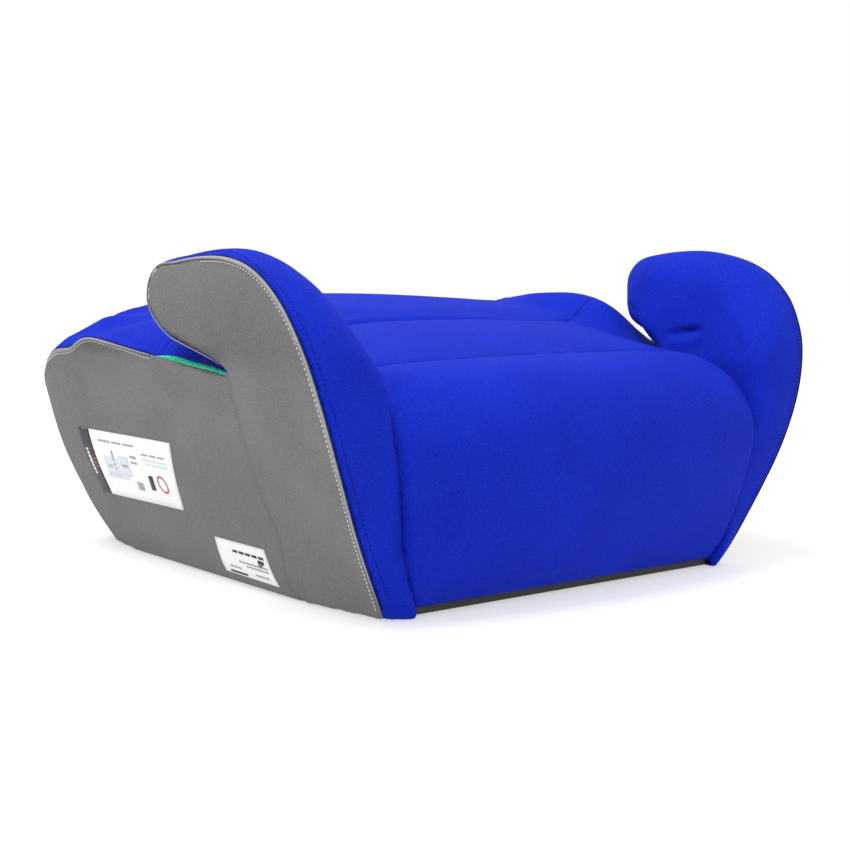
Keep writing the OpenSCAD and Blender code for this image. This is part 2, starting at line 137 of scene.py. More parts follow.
def polygon_distance(poly, step=1.5, margin=60):
    """Signed distance to a closed polygon, negative inside, as a Sheet2."""
    low, high = poly.min(0) - margin, poly.max(0) + margin
    a = np.arange(low[0], high[0], step)
    b = np.arange(low[1], high[1], step)
    pa, pb = np.meshgrid(a, b, indexing="ij")
    best = np.full(pa.shape, 1e9)
    inside = np.zeros(pa.shape, bool)
    for i in range(len(poly)):
        p, q = poly[i], poly[(i + 1) % len(poly)]
        d = q - p
        t = np.clip(((pa - p[0]) * d[0] + (pb - p[1]) * d[1]) / max(d @ d, 1e-9), 0, 1)
        best = np.minimum(best, (pa - p[0] - t * d[0]) ** 2 + (pb - p[1] - t * d[1]) ** 2)
        if p[1] != q[1]:
            cross = (pb > min(p[1], q[1])) & (pb <= max(p[1], q[1]))
            cross &= pa < p[0] + (pb - p[1]) * d[0] / d[1]
            inside ^= cross
    return Sheet2(low[0], low[1], step, np.sqrt(best) * np.where(inside, -1, 1))


# ---- shape tables
# Edge of the grey flank in side view, (y behind the flank's front line, z), from the front foot up.
FLANK_EDGE = [
    (14, -9), (2, 7), (-1.5, 20), (-7.6, 45), (-11, 60), (-15.2, 80), (-17.9, 100), (-19, 120),
    (-17.9, 140), (-14, 160), (-7.7, 175), (0.7, 189), (9.5, 198.5), (22, 208.5), (40, 217), (62, 221.5),
    (84, 222.5), (105, 221.5), (126, 219), (149, 217), (166.5, 211), (177, 200), (178.5, 188),
    (171, 178.5), (152, 171.5), (130, 166), (113, 161.5), (101, 157.5), (92, 154), (85, 150.5),
    (82, 148.6), (85, 148.8), (95, 149.8), (123, 152.5), (161, 156), (201, 160), (240, 164.5),
    (262, 166), (275, 165), (290, 161.5), (306, 156), (324, 148), (341, 138), (357, 126.5), (371, 113.5),
    (383, 99), (391, 83), (394, 66), (393.5, 48), (389, 28), (379, 9), (362, -4), (336, -9),
]
# Heights of the padded top: rows run to the rear, columns run outwards from the middle.
TOP_X = [0, 60, 110, 138, 150, 158, 167, 180, 195, 208, 219, 232]
TOP_Y = [-60, 0, 40, 85, 112, 138, 155, 174, 195, 220, 250, 285, 325, 365, 398, 420]
TOP_Z = [
    [147, 147, 146, 143, 140, 138, 138, 138, 138, 138, 138, 138],
    [152, 152, 151, 149, 145, 142, 140, 140, 140, 140, 140, 140],
    [157.5, 157, 156, 153.5, 150.5, 147.5, 146, 145, 145, 145, 145, 145],
    [164, 163.5, 162, 159, 155.5, 151.5, 149, 148.5, 148.5, 149, 149, 149],
    [168, 167.5, 166, 163, 160, 156, 153, 152, 151.5, 151.2, 151, 151],
    [172, 171.5, 170.5, 168.5, 166, 164, 164, 163.5, 160, 156.5, 153.5, 152],
    [174, 173.5, 173, 172, 170.5, 170, 173, 176.5, 173, 165, 156, 154],
    [176, 175.5, 175, 174.5, 174.5, 176, 180, 184, 180, 171, 158.5, 156],
    [179, 178.5, 178, 178, 178.5, 181, 184.5, 187.5, 183.5, 174.5, 160.5, 158],
    [182, 182, 181.5, 181.5, 182, 184, 186.5, 188, 184, 175.5, 163, 160],
    [185.5, 185.5, 185, 184.5, 184.5, 185.5, 186.5, 186.5, 182.5, 175, 165.5, 163],
    [188, 188, 187.5, 186.5, 185.5, 184.5, 183.5, 181.5, 177, 171, 163.5, 161],
    [188.5, 188.5, 188, 186, 184, 181.5, 178.5, 173.5, 167, 160, 150, 147],
    [187.5, 187.5, 186.5, 183, 180, 176, 171, 163, 153, 143, 130, 126],
    [185, 185, 183, 178, 174, 169, 162, 151, 138, 124, 108, 102],
    [183, 183, 180, 174, 169, 163, 154, 141, 126, 110, 92, 85],
]
# Crease between front panel and gusset: (z, half width, y behind the flank's front line)
CREASE = [(0, 131, 1), (10, 135, -5), (22, 140, -11), (49, 147, -18), (72, 151.5, -22.5),
          (90, 155, -24.5), (114, 159.5, -24.5), (135, 161, -24.5), (240, 161, -24.5)]

CROWN_Z, CROWN = [0, 6, 20, 49, 90, 240], [0, 1, 7, 14, 17.5, 17.5]    # the front panel's bow by height

SEAM_1 = 40.0       # seam between front and middle panel, behind the flank's front line
SEAM_2 = 172.0      # seam between middle and rear panel
ROLL = 50.0         # radius of the front panel's top roll
TUCK = (174.0, FLANK_FRONT + 56, 165.5)    # middle of the fold in the cover beside the armrest's root
TUCK_SLOPE = 0.13   # how much the fold drops towards the rear
REAR_ROUND, REAR_ROUND_LOW = 42.0, 38    # rear corners in plan, at the top and near the floor
EDGE_ROUND = 3.0    # rounding at the flank's seam
COVER_LOW = 0.9     # height of the cover's lower edge
SLOT_AT, SLOT_LINE, SLOT_LINE_RISE = 85, 149, 0.2    # inner end of the belt slot, middle height, rise
STEP_IN = 3.6       # the side panel steps in this far behind the hook's root
LOW_BULGE = 3.5     # the side panel's lower rear part stands out this far
FOOT_FLARE = 11     # the side panel's foot turns outwards this far
TOE, TOE_REACH = 11, 18     # the gusset's foot comes forward this far, fully so from that far inwards
PUFF_FRONT, PUFF_MORE, PUFF_REACH = 3.2, 3.0, 28     # crown of the gusset's padding, more of it at the top
INNER_LEAN = 0.245  # the armrest's inner face leans outwards this much for each millimetre up
LOW_ROUND, HIGH_ROUND = 4, 5    # rounding of the armrest's inner edge low down, and what is added above
HOOK_EDGE_ROUND, HOOK_FACE_ROUND = 15, 31    # what is added at the hook, along its edge and its inner face
NOSE_PLANE, NOSE_ROUND = 227, 22    # slanting plane that thins the hook's tip, and its rounding
LEFT_PAD, LEFT_BOLSTER = -10, 12    # the photograph's left side is padded lower than the right one
RIGHT_PAD, RIGHT_BOLSTER = -3, 9
REAR_FRONT, REAR_FRONT_ROUND = 60, 26    # where the rear padding starts, hidden below the middle panel
BACK_LEAN, BACK_BOW = 10, 0.00012    # the back panel leans in at its foot and bows in plan


def top_height():
    """The table above as a smooth Sheet2 over (x, y)."""
    xs = np.arange(0, 240, 2.0)
    ys = np.arange(-60, 420, 2.0)
    rows = natural_spline(TOP_X, np.array(TOP_Z, float).T, xs)
    return Sheet2(0, -60 + FLANK_FRONT, 2.0, natural_spline(TOP_Y, rows.T, ys).T)


flank_poly = closed_curve([(y + FLANK_FRONT, z) for y, z in FLANK_EDGE])
flank_distance = polygon_distance(flank_poly)
top_z = top_height()
crease_z, crease_x, crease_y = (np.array(c, float) for c in zip(*CREASE))


def flank_x(z):
    return FOOT_HALF + (TOP_HALF - FOOT_HALF) * (1 - np.clip(1 - z / CREST, 0, 1) ** FLANK_CURVE)


def round_max(a, b, r):
    """Intersection of two solids with their common edge rounded to radius r."""
    u, v = np.maximum(a + r, 0), np.maximum(b + r, 0)
    return np.minimum(np.maximum(a, b), -r) + np.hypot(u, v)


def oval_max(a, b, ra, rb):
    """Intersection of two solids whose common edge is a quarter ellipse, ra deep on a, rb on b."""
    u, v = np.maximum(1 + a / ra, 0), np.maximum(1 + b / rb, 0)
    return np.where((u > 0) & (v > 0), (np.hypot(u, v) - 1) * np.sqrt(ra * rb), np.maximum(a, b))


def soft_min(a, b, k):
    h = np.maximum(k - np.abs(a - b), 0) / k
    return np.minimum(a, b) - h * h * k / 4


def parts_of(across_x, y, z):
    """Signed fields of the seat's pieces at points x, y, z: (armrest flank, front and middle body,
    rear body, outer face, rear face)."""
    x = np.abs(across_x)
    half = np.interp(z, crease_z, crease_x)
    fold_y = y - FLANK_FRONT - 0.25 * (z - 149)
    step_in = (STEP_IN * ramp(fold_y, 66, 100) * (1 - ramp(y, 110, 190)) * ramp(z, 60, 140)
               * (1 - ramp(z, 152, 166)))
    bulge = LOW_BULGE * ramp(y, 20, 150) * ramp(z, 2, 40) * (1 - ramp(z, 70, 140))
    flare = FOOT_FLARE * ramp(y, FLANK_FRONT - 10, FLANK_FRONT + 90) * (1 - ramp(z, 6, 50))
    flare = flare * (1 - 0.85 * ramp(y, FLANK_FRONT + 290, FLANK_FRONT + 385))
    outer = (x - (flank_x(z) - step_in + bulge + flare)) * 0.93
    # armrest: its side view outline, swollen between the seams, cut off by its leaning inner face
    across = np.clip(flank_x(z) - x, 0, 60)
    puff = ((PUFF_FRONT + PUFF_MORE * ramp(y, FLANK_FRONT + 15, FLANK_FRONT + 80))
            * np.sin(np.minimum(across / PUFF_REACH, 1) * math.pi / 2))
    inner_x = half + 1 + INNER_LEAN * np.clip(z - 145, 0, 68)
    toe = (TOE * (1 - ramp(z, 0, 50)) * np.minimum(across / TOE_REACH, 1)
           * (1 - ramp(y, FLANK_FRONT + 20, FLANK_FRONT + 60)))
    swollen = 1 - ramp(y, FLANK_FRONT + 40, FLANK_FRONT + 90) * (1 - ramp(z, 160, 176))
    edge = flank_distance(y, z) - toe - puff * ramp(z, 0, 40) * swollen
    slot_z = SLOT_LINE + SLOT_LINE_RISE * (y - (FLANK_FRONT + SLOT_AT))
    above_slot = ramp(y, FLANK_FRONT + 88, FLANK_FRONT + 120) * ramp(z - slot_z, 1, 8)
    hook = np.maximum(ramp(z, 140, 192), above_slot)
    high = ramp(z, 90, 140)
    flank = oval_max(edge, inner_x - x, LOW_ROUND + HIGH_ROUND * high + HOOK_EDGE_ROUND * hook,
                     LOW_ROUND + HIGH_ROUND * high + HOOK_FACE_ROUND * hook)
    nose = np.where(z > slot_z, (y - x + NOSE_PLANE) * 0.707, -60)
    flank = round_max(flank, nose, NOSE_ROUND)
    # padded top, a little uneven as in the photograph, and the bowed front panel
    to_rear = ramp(y, FLANK_FRONT + 285, FLANK_FRONT + 335)
    left_pad = LEFT_PAD + LEFT_BOLSTER * to_rear * ramp(x, 150, 175)
    right_pad = RIGHT_BOLSTER * ramp(x, 160, 190) + RIGHT_PAD
    uneven = np.where(across_x < 0, left_pad, right_pad) * (1 - ramp(y, FLANK_FRONT + 335, FLANK_FRONT + 380))
    over = z - top_z(x, y) - uneven * ramp(x, 30, 140) * ramp(y, FLANK_FRONT + 110, FLANK_FRONT + 180)
    crown = np.interp(z, CROWN_Z, CROWN)
    front = np.interp(z, crease_z, crease_y) - crown * (1 - np.clip(x / half, 0, 1.1) ** 2) + FLANK_FRONT
    body = round_max(over * 0.97, (front - y) * 0.95, ROLL)
    body = round_max(body, x - half, 5 + 4 * high)
    rear_part = round_max(over * 0.85, (FLANK_FRONT + REAR_FRONT) - y, REAR_FRONT_ROUND)
    rear_line = REAR - BACK_LEAN * np.clip(1 - z / 90, 0, 1) ** 2 - BACK_BOW * x ** 2
    behind = y - rear_line
    return flank, body, rear_part, outer, behind


def rear_round(x):
    """Radius between the padded top and the back panel, larger at the corners."""
    return 34 + 30 * ramp(x, 152, 215)


def seat_field(p):
    """The whole cover as one field, negative inside, then the fields that its seams follow."""
    x, y, z = np.abs(p[..., 0]), p[..., 1], p[..., 2]
    flank, body, rear_part, outer, behind = parts_of(p[..., 0], y, z)
    top = soft_min(body, rear_part, 2)
    centre = round_max(top, behind, rear_round(x))
    solid = soft_min(round_max(flank, behind, 20), centre, 3)
    for seam, deep in ((SEAM_1, 3.2), (SEAM_2, 2.6)):
        line = FLANK_FRONT + seam
        solid = solid + deep * np.exp(-((y - line) / 4.0) ** 2) * ramp(z, 120, 140) * (1 - ramp(x, 150, 162))
    # the fold at the armrest's root: a groove with a soft roll of cloth below it
    tuck = z - TUCK[2] + TUCK_SLOPE * (y - TUCK[1])
    near = ((y - TUCK[1]) / 17) ** 4 + ((x - TUCK[0]) / 22) ** 4
    solid = solid + (2.8 * np.exp(-(tuck / 3.0) ** 2) - 1.2 * np.exp(-((tuck + 7) / 4) ** 2)) * np.exp(-near)
    side = round_max(outer, behind, REAR_ROUND_LOW + (REAR_ROUND - REAR_ROUND_LOW) * ramp(z, 15, 110))
    whole = round_max(solid, side, EDGE_ROUND)
    # pocket for the base tray, narrower in front, where the gussets reach the floor
    tray_side = TRAY_HIGH[0] + 3 - 17 * (1 - ramp(y, TRAY_LOW[1] + 8, TRAY_LOW[1] + 26))
    tray = np.maximum(x - tray_side, z - TRAY_HIGH[2] - 0.4)
    whole = np.maximum(whole, np.maximum(COVER_LOW - z, -tray))
    return whole, soft_min(flank, top, 3) - outer, flank - top


def surface_nets(field, low, high, step):
    """Quad mesh of the field's zero surface on a regular grid."""
    axes = [np.arange(low[k], high[k] + step, step) for k in range(3)]
    shape = [len(a) for a in axes]
    values = np.empty(shape, np.float32)
    for i, x in enumerate(axes[0]):
        gy, gz = np.meshgrid(axes[1], axes[2], indexing="ij")
        values[i] = field(np.stack([np.full(gy.shape, x), gy, gz], -1))[0]
    inside = values < 0
    total = np.zeros([n - 1 for n in shape] + [3])
    count = np.zeros([n - 1 for n in shape])
    quads = []
    for axis in range(3):
        a = [slice(None)] * 3
        b = [slice(None)] * 3
        a[axis], b[axis] = slice(0, -1), slice(1, None)
        va, vb = values[tuple(a)], values[tuple(b)]
        cross = inside[tuple(a)] != inside[tuple(b)]
        idx = np.argwhere(cross)
        t = (va[cross] / (va[cross] - vb[cross])).astype(float)
        point = idx.astype(float)
        point[:, axis] += t
        u, v = (axis + 1) % 3, (axis + 2) % 3
        cells = []
        for du, dv in ((0, 0), (-1, 0), (-1, -1), (0, -1)):
            c = idx.copy()
            c[:, u] += du
            c[:, v] += dv
            cells.append(c)
            np.add.at(total, tuple(c.T), point)
            np.add.at(count, tuple(c.T), 1)
        q = np.stack(cells, 1)
        flip = va[cross] > 0
        q[flip] = q[flip][:, ::-1]
        quads.append(q)
    used = count > 0
    number = -np.ones(count.shape, int)
    number[used] = np.arange(used.sum())
    verts = total[used] / count[used][:, None]
    verts = verts * step + np.array([a[0] for a in axes])
    q = np.concatenate(quads)
    return verts, number[q[..., 0], q[..., 1], q[..., 2]]


def gradient(field, p, e=0.4):
    g = np.empty_like(p)
    for k in range(3):
        d = np.zeros(3)
        d[k] = e
        g[:, k] = (field(p + d)[0] - field(p - d)[0]) / (2 * e)
    return g


def neighbours_mean(verts, quads):
    total = np.zeros_like(verts)
    count = np.zeros(len(verts))
    for k in range(4):
        a, b = quads[:, k], quads[:, (k + 1) % 4]
        np.add.at(total, a, verts[b])
        np.add.at(total, b, verts[a])
        np.add.at(count, a, 1)
        np.add.at(count, b, 1)
    return total / count[:, None]


def relax_on_field(field, verts, quads, rounds):
    """Even out the mesh and keep it on the zero surface."""
    for _ in range(rounds):
        g = gradient(field, verts)
        n = g / np.maximum(np.linalg.norm(g, axis=1), 1e-6)[:, None]
        move = (neighbours_mean(verts, quads) - verts) * 0.5
        verts = verts + move - (move * n).sum(1)[:, None] * n
        for _ in range(2):
            value = field(verts)[0]
            g = gradient(field, verts)
            length = np.maximum((g * g).sum(1), 0.05)
            verts = verts - np.clip(value / length, -2, 2)[:, None] * g
    return verts


def raw_mesh(name, verts, faces):
    mesh = bpy.data.meshes.new(name)
    mesh.from_pydata((verts * MM).tolist(), [], faces.tolist() if hasattr(faces, "tolist") else faces)
    mesh.update()
    obj = bpy.data.objects.new(name, mesh)
    bpy.context.scene.collection.objects.link(obj)
    return obj


# ---- seams of the cover
GRID = 3.0          # spacing of the cover's mesh
SIM_GRID = 6.0      # spacing of the coarser mesh that is blown up as cloth
REAR_SEAM_LOW, REAR_SEAM_RISE = 124, 22     # seam between rear panel and back panel, higher in the middle
SLOT_Z, SLOT_RISE = 149.5, 0.22     # the gusset's seam along the middle of the belt slot
LINING_FROM, LINING_TO, LINING_W = 87, 190, 11      # the green strip's ends and width
PULL = 0.32         # share of an edge within which a point is moved onto the seam
COLUMNS = ("blue", "back", "gusset", "lining", "first", "second")


def seam_values(p):
    """A column for each seam: zero on the seam, about millimetres away from it elsewhere."""
    x, y, z = np.abs(p[:, 0]), p[:, 1], p[:, 2]
    behind_front = y - FLANK_FRONT
    _, edge, crease = seat_field(p)
    seam_z = REAR_SEAM_LOW + REAR_SEAM_RISE * (1 - ramp(x, 110, 205))
    top_of_back = z - seam_z + 2.5 * np.maximum(REAR - 28 - y, 0)
    slot = SLOT_Z + SLOT_RISE * (behind_front - SLOT_AT)
    under_hook = np.minimum(behind_front - SLOT_AT + 1, slot - z)
    strip = LINING_W * np.clip((LINING_TO - behind_front) / 60, 0, 1) ** 0.7
    return np.stack([
        np.minimum(edge, top_of_back),
        np.maximum(x - flank_x(z) + 40, REAR - 60 - y),
        np.maximum(crease, under_hook),
        np.minimum(np.minimum(x - flank_x(z) + strip, behind_front - LINING_FROM), LINING_TO - behind_front),
        behind_front - SEAM_1,
        behind_front - SEAM_2,
    ], 1)


def cover_mesh(step):
    half = step * (int(TOP_HALF / step) + 3.5)
    verts, quads = surface_nets(seat_field, (-half, FRONT - 9, -4), (half, REAR + 9, CREST + 9), step)
    return relax_on_field(seat_field, verts, quads, 3), quads


def unit(v):
    return v / np.maximum(np.linalg.norm(v, axis=-1, keepdims=True), 1e-9)


def onto_cover(p, rounds=4):
    """Points moved along the field's slope onto the cover's surface."""
    for _ in range(rounds):
        g = gradient(seat_field, p)
        p = p - np.clip(seat_field(p)[0] / np.maximum((g * g).sum(1), 0.1), -3, 3)[:, None] * g
    return p


def border_edges(t, n):
    """Directed edges that only one of the triangles has, out of n points, triangles on their left."""
    e = np.concatenate([t[:, [0, 1]], t[:, [1, 2]], t[:, [2, 0]]])
    return e[~np.isin(e[:, 0] * n + e[:, 1], e[:, 1] * n + e[:, 0])]


class Cover:
    """Triangles of the cover with a label each, and the seam columns at their corners."""

    def __init__(self, verts, quads):
        self.v = verts
        self.t = np.concatenate([quads[:, [0, 1, 2]], quads[:, [0, 2, 3]]])
        self.c = seam_values(verts)
        self.label = np.full(len(self.t), "cover", "<U12")

    def divide(self, label, column, below, above):
        """Split the label's triangles along the column's zero line and name both sides."""
        k = COLUMNS.index(column)
        mine = self.label == label
        self.pull_to_line(self.t[mine], k)
        e, s = self.crossed(self.t[mine], k)
        first = len(self.v)
        self.v = np.concatenate([self.v, self.v[e[:, 0]] * (1 - s) + self.v[e[:, 1]] * s])
        new_c = self.c[e[:, 0]] * (1 - s) + self.c[e[:, 1]] * s
        new_c[:, k] = 0
        self.c = np.concatenate([self.c, new_c])
        middle = {tuple(pair): first + i for i, pair in enumerate(e.tolist())}
        value = self.c[:, k]
        corner = value[self.t]
        split = mine & (corner.min(1) < 0) & (corner.max(1) > 0)
        made = []
        for tri in self.t[split].tolist():
            at = [value[i] for i in tri]
            zeros = [i for i in range(3) if at[i] == 0]
            if zeros:
                i = zeros[0]
            else:
                above_count = sum(a > 0 for a in at)
                i = next(n for n in range(3) if (at[n] > 0) == (above_count == 1))
            a, b, c = tri[i], tri[(i + 1) % 3], tri[(i + 2) % 3]
            if zeros:
                m = middle[min(b, c), max(b, c)]
                made += [(a, b, m), (a, m, c)]
            else:
                m, n = middle[min(a, b), max(a, b)], middle[min(a, c), max(a, c)]
                made += [(a, m, n), (m, b, c), (m, c, n)]
        made = np.array(made, int).reshape(-1, 3)
        self.t = np.concatenate([self.t[~split], made])
        self.label = np.concatenate([self.label[~split], np.full(len(made), label, "<U12")])
        mine = self.label == label
        over = value[self.t].sum(1) >= 0
        self.label[mine & over] = above
        self.label[mine & ~over] = below

    def crossed(self, t, k):
        """Edges of the triangles that cross the zero line, and the share of each before it."""
        e = np.unique(np.sort(np.concatenate([t[:, [0, 1]], t[:, [1, 2]], t[:, [2, 0]]]), 1), axis=0)
        a, b = self.c[e[:, 0], k], self.c[e[:, 1], k]
        hit = a * b < 0
        return e[hit], (a[hit] / (a[hit] - b[hit]))[:, None]

    def pull_to_line(self, t, k):
        """Move points that are almost on the zero line onto it, so that no sliver is cut off."""
        e, s = self.crossed(t, k)
        which = np.where(s[:, 0] < PULL, 0, np.where(s[:, 0] > 1 - PULL, 1, -1))
        free = ~(self.c == 0).any(1)
        close = which >= 0
        close[close] &= free[e[close, which[close]]]
        e, s, which = e[close], s[close], which[close]
        far = np.minimum(s, 1 - s)[:, 0]
        order = np.argsort(-far)
        e, s, which = e[order], s[order], which[order]
        who = e[np.arange(len(e)), which]
        place = self.v[e[:, 0]] * (1 - s) + self.v[e[:, 1]] * s
        value = self.c[e[:, 0]] * (1 - s) + self.c[e[:, 1]] * s
        value[:, k] = 0
        self.v[who], self.c[who] = place, value

    def lines(self, mask, column):
        """The seam of that column along the border of some triangles, as point lists."""
        k = COLUMNS.index(column)
        e = border_edges(self.t[mask], len(self.v))
        e = e[(np.abs(self.c[e, k]) < 1e-9).all(1)]
        after = dict(e.tolist())
        starts = sorted(set(after) - set(after.values())) or sorted(after)[:1]
        found = []
        for start in starts:
            chain, at = [start], after.pop(start, None)
            while at is not None:
                chain.append(at)
                at = after.pop(at, None)
            found.append(self.v[chain])
        return sorted(found, key=len, reverse=True)


def smoothed(line, rounds):
    """The line's inner points moved towards the middle of their neighbours."""
    for _ in range(rounds):
        line[1:-1] = line[1:-1] / 2 + (line[:-2] + line[2:]) / 4
    return line


def even_line(points, spacing, rounds=6):
    """The same line with evenly spaced, smoothed points on the cover."""
    length = np.concatenate([[0], np.cumsum(np.linalg.norm(np.diff(points, axis=0), axis=1))])
    at = np.linspace(0, length[-1], max(int(length[-1] / spacing), 3))
    return smoothed(np.stack([np.interp(at, length, points[:, k]) for k in range(3)], 1), rounds)


def line_frame(line):
    """Along, outwards and left of a line on the cover."""
    along = unit(np.gradient(line, axis=0))
    out = smoothed(unit(gradient(seat_field, line, 1.0)), 2)
    out = unit(out - (out * along).sum(1)[:, None] * along)
    return along, out, np.cross(out, along)


def beside(line, offset):
    """A line on the cover that runs offset to the left of this one."""
    _, _, left = line_frame(line)
    return smoothed(onto_cover(line + left * offset), 3)


# ---- materials
class Nodes:
    """Short hand for building a node material."""

    def __init__(self, name):
        self.material = bpy.data.materials.new(name)
        self.material.use_nodes = True
        self.tree = self.material.node_tree
        self.shader = self.tree.nodes["Principled BSDF"]
        self.place = self.add("ShaderNodeTexCoord").outputs["Object"]

    def add(self, kind, **settings):
        node = self.tree.nodes.new(kind)
        for key, value in settings.items():
            setattr(node, key, value)
        return node

    def link(self, source, target):
        self.tree.links.new(source, target)

    def math(self, operation, a, b=0.0, c=0.0):
        node = self.add("ShaderNodeMath", operation=operation)
        for socket, value in zip(node.inputs, (a, b, c)):
            if isinstance(value, (int, float)):
                socket.default_value = value
            else:
                self.link(value, socket)
        return node.outputs[0]

    def along(self, direction, period):
        """Sine of the place along a direction, with that period in metres."""
        node = self.add("ShaderNodeVectorMath", operation="DOT_PRODUCT")
        self.link(self.place, node.inputs[0])
        node.inputs[1].default_value = direction
        return self.math("SINE", self.math("MULTIPLY", node.outputs["Value"], 2 * math.pi / period))

    def noise(self, size, detail=2.0):
        """Noise with features of about that size in metres, 0 to 1."""
        node = self.add("ShaderNodeTexNoise")
        self.link(self.place, node.inputs["Vector"])
        node.inputs["Scale"].default_value = 1 / size
        node.inputs["Detail"].default_value = detail
        return node.outputs["Fac"]

    def attribute(self, name):
        return self.add("ShaderNodeAttribute", attribute_name=name).outputs["Fac"]

    def span(self, value, low, high, to_low, to_high):
        node = self.add("ShaderNodeMapRange")
        self.link(value, node.inputs["Value"])
        for key, v in (("From Min", low), ("From Max", high), ("To Min", to_low), ("To Max", to_high)):
            node.inputs[key].default_value = v
        return node.outputs["Result"]

    def blend(self, amount, dark, light):
        node = self.add("ShaderNodeMix", data_type="RGBA")
        self.link(amount, node.inputs["Factor"])
        node.inputs["A"].default_value = (*dark, 1)
        node.inputs["B"].default_value = (*light, 1)
        return node.outputs["Result"]

    def bump(self, height, depth, strength):
        node = self.add("ShaderNodeBump")
        self.link(height, node.inputs["Height"])
        node.inputs["Distance"].default_value = depth
        node.inputs["Strength"].default_value = strength
        self.link(node.outputs["Normal"], self.shader.inputs["Normal"])


# the last settings give how deep the painted shade is at the seams and under the hooks
def fabric(name, dark, light, period, depth, contrast, sheen, ribs=None, painted_seam_shade=0.62,
           under=0.3):
    """Knitted or woven cloth: yarn pattern, mottled colour, and painted shade that darkens it at its seams
    and under the hooks.
    """
    n = Nodes(name)
    u = n.along((1, -1, 0), period)
    v = n.along((0.58, 0.58, -1.15), period)
    weave = n.math("MULTIPLY", u, v) if ribs is None else n.along(ribs, period)
    speckle = n.noise(period * 0.9, 3.0)
    broad = n.noise(0.05)
    # painted shade: the cloth's colour darkens within 4 mm of a seam, standing in for the shade in the seam's
    # groove
    seam = n.span(n.attribute("seam"), 0, 4, painted_seam_shade, 1)
    mixed = n.math("MULTIPLY_ADD", weave, 0.16 * contrast, 0.5)
    mixed = n.math("ADD", mixed, n.math("MULTIPLY", n.math("SUBTRACT", speckle, 0.5), 2.2 * contrast))
    mixed = n.math("ADD", mixed, n.math("MULTIPLY", n.math("SUBTRACT", broad, 0.5), 0.5))
    amount = n.math("MULTIPLY", n.math("MINIMUM", n.math("MAXIMUM", mixed, 0.0), 1.0), seam)
    # painted shade: cloth facing downwards and higher than 150 mm, the undersides of the hooks, is darkened
    # by up to the share under, standing in for the shade there
    facing = n.add("ShaderNodeSeparateXYZ")
    n.link(n.add("ShaderNodeNewGeometry").outputs["Normal"], facing.inputs[0])
    place = n.add("ShaderNodeSeparateXYZ")
    n.link(n.add("ShaderNodeNewGeometry").outputs["Position"], place.inputs[0])
    below = n.span(facing.outputs["Z"], -0.65, -0.05, 1 - under, 0)
    hook_shade_height = n.span(place.outputs["Z"], 0.150, 0.165, 0, 1)
    shade = n.math("SUBTRACT", 1.0, n.math("MULTIPLY", below, hook_shade_height))
    tinted = n.add("ShaderNodeVectorMath", operation="SCALE")
    n.link(n.blend(amount, dark, light), tinted.inputs[0])
    n.link(shade, tinted.inputs["Scale"])
    n.link(tinted.outputs["Vector"], n.shader.inputs["Base Color"])
    height = n.math("ADD", n.math("MULTIPLY", weave, 0.6), n.math("MULTIPLY", speckle, 0.8))
    n.bump(height, depth, 0.55)
    n.link(n.span(speckle, 0.3, 0.7, 0.97, 0.8), n.shader.inputs["Roughness"])
    n.shader.inputs["Sheen Weight"].default_value = sheen
    n.shader.inputs["Sheen Roughness"].default_value = 0.45
    n.shader.inputs["Sheen Tint"].default_value = (*light, 1)
    n.shader.inputs["Specular IOR Level"].default_value = 0.12
    return n.material


def solid(name, dark, light, rough, grain, depth, metallic=0.0):
    """Plastic, rubber, steel or print with a fine grain and faint uneven wear."""
    n = Nodes(name)
    fine, broad = n.noise(grain, 3.0), n.noise(0.03)
    n.link(n.blend(n.math("MULTIPLY_ADD", broad, 0.6, n.math("MULTIPLY", fine, 0.4)), dark, light),
           n.shader.inputs["Base Color"])
    n.link(n.span(broad, 0.3, 0.7, rough, min(rough + 0.15, 1)), n.shader.inputs["Roughness"])
    n.bump(fine, depth, 0.5)
    n.shader.inputs["Metallic"].default_value = metallic
    return n.material


knit_blue = fabric("knit_blue", (0.001, 0.008, 0.25), (0.004, 0.025, 0.53), 0.0014, 0.0003, 0.35, 0.10)
knit_grey = fabric("knit_grey", (0.108, 0.108, 0.108), (0.222, 0.222, 0.222), 0.0014, 0.0003, 0.4, 0.06)
trim_grey = fabric("trim_grey", (0.20, 0.20, 0.20), (0.36, 0.36, 0.36), 0.0011, 0.0002, 0.8, 0.1)
# painted shadow: this dark cloth colours the cord laid in the seam, in place of the shade line there
seam_shadow_cord = fabric("seam_shadow_cord", (0.002, 0.006, 0.06), (0.006, 0.014, 0.17), 0.0011, 0.0002, 0.6, 0.05)
lining_green = fabric("lining_green", (0.008, 0.33, 0.17), (0.06, 0.80, 0.42), 0.0030, 0.0006, 0.5, 0.1,
                      ribs=(0, 1, 0.25), painted_seam_shade=0.85)
thread_white = fabric("thread_white", (0.5, 0.5, 0.5), (0.86, 0.86, 0.86), 0.0008, 0.0001, 0.5, 0.1)
thread_blue = fabric("thread_blue", (0.002, 0.005, 0.10), (0.006, 0.014, 0.26), 0.0008, 0.0001, 0.5, 0.1)
elastic_black = fabric("elastic_black", (0.004, 0.004, 0.005), (0.03, 0.03, 0.032), 0.002, 0.0004, 0.6, 0.05,
                       ribs=(1, 1, 0))
label_white = solid("label_white", (0.72, 0.72, 0.71), (0.86, 0.86, 0.85), 0.45, 0.0009, 0.0001)
INKS = [label_white] + [solid(name, dark, light, 0.5, 0.001, 0.0001) for name, dark, light in (
    ("ink_dark", (0.012, 0.011, 0.022), (0.03, 0.026, 0.05)),
    ("ink_grey", (0.25, 0.26, 0.28), (0.4, 0.41, 0.43)),
    ("ink_pale", (0.55, 0.60, 0.66), (0.66, 0.70, 0.75)),
    ("ink_red", (0.5, 0.03, 0.02), (0.7, 0.06, 0.04)))]
